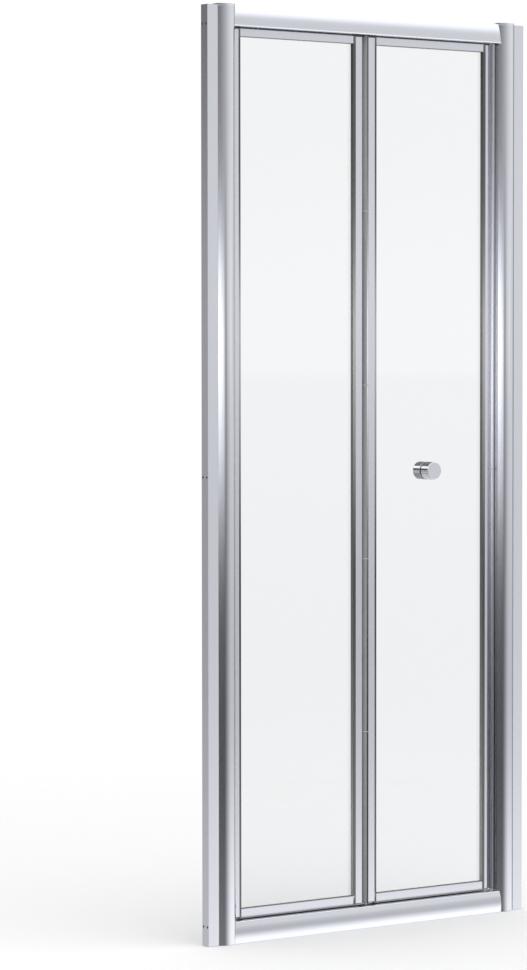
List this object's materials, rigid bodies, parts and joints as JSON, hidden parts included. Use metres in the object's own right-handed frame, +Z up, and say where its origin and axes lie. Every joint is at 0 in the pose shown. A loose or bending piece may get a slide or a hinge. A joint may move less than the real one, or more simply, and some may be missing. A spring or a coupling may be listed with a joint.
{
  "type": "bifold shower door",
  "caption": "Framed in-folding bifold shower door for a recess: framed glass panels on a knuckle hinge, round-fronted posts, head rail, sill and knob.",
  "frame": {"origin": "middle of the sill's underside, in the plane of the wall channels' front faces", "axes": "+X along the door towards the pivot side, +Y back into the shower, +Z up"},
  "size_m": [0.8, 0.0644, 1.85],
  "materials": {
    "frame_aluminium": "bright polished",
    "channel_aluminium": "bright anodised",
    "panel_aluminium": "bright polished",
    "cap_chrome": "polished",
    "knob_chrome": "polished side, satin face",
    "clear_glass": "clear",
    "gasket_rubber": "matt",
    "seal_rubber": "matt",
    "nylon": "satin",
    "black_plastic": "matt",
    "cover_plastic": "plated gloss",
    "steel": "bright"
  },
  "bodies": {
    "frame": {"wall_channel_left": "channel_aluminium", "wall_channel_right": "channel_aluminium", "post_left": "frame_aluminium", "post_right": "frame_aluminium", "post_cap_left": "cap_chrome", "post_cap_right": "cap_chrome", "head_rail": "frame_aluminium", "sill_rail": "frame_aluminium", "rail_screws": "steel", "jamb_screws": "steel", "jamb_screw_covers": "cover_plastic", "strike_magnet": "seal_rubber", "pivot_side_seal": "seal_rubber", "pivot_block_top": "nylon", "pivot_block_bottom": "nylon", "pivot_block_screws": "steel"},
    "pivot_panel": {"pivot_stile": "panel_aluminium", "pivot_hinge_stile": "panel_aluminium", "pivot_panel_top_rail": "panel_aluminium", "pivot_panel_bottom_rail": "panel_aluminium", "pivot_panel_glass": "clear_glass", "pivot_panel_gasket": "gasket_rubber", "pivot_panel_corner_screws": "steel", "pivot_panel_end_caps": "black_plastic", "pivot_panel_wiper": "gasket_rubber", "pivot_pins": "steel", "pivot_spacers": "nylon", "nose_screw": "steel", "fold_pin": "steel", "fold_washers": "nylon", "knob_outer": "knob_chrome", "knob_inner": "knob_chrome", "knob_stud": "steel", "knob_washers": "black_plastic"},
    "slide_panel": {"leading_stile": "panel_aluminium", "slide_hinge_stile": "panel_aluminium", "slide_panel_top_rail": "panel_aluminium", "slide_panel_bottom_rail": "panel_aluminium", "slide_panel_glass": "clear_glass", "slide_panel_gasket": "gasket_rubber", "slide_panel_corner_screws": "steel", "slide_panel_end_caps": "black_plastic", "slide_panel_wiper": "gasket_rubber", "leading_magnet": "seal_rubber", "guide_pins": "steel"},
    "guide_shoes": {"guide_shoe_top": "black_plastic", "guide_shoe_bottom": "black_plastic"}
  },
  "joints": [
    {"name": "pivot_swing", "type": "hinge", "parent": "frame", "child": "pivot_panel", "pos_m": [0.3321, 0.016, 0], "axis": [0, 0, -1], "range_deg": [0, 80]},
    {"name": "fold", "type": "hinge", "parent": "pivot_panel", "child": "slide_panel", "pos_m": [0, 0.016, 0], "axis": [0, 0, -1], "range_deg": [-160, 0]},
    {"name": "guide_swivel", "type": "hinge", "parent": "slide_panel", "child": "guide_shoes", "pos_m": [-0.3321, 0.016, 0], "axis": [0, 0, -1], "range_deg": [0, 80]}
  ],
  "couplings": [
    {"joint": "fold", "follows": "pivot_swing", "ratio": -2},
    {"joint": "guide_swivel", "follows": "pivot_swing", "ratio": 1}
  ]
}
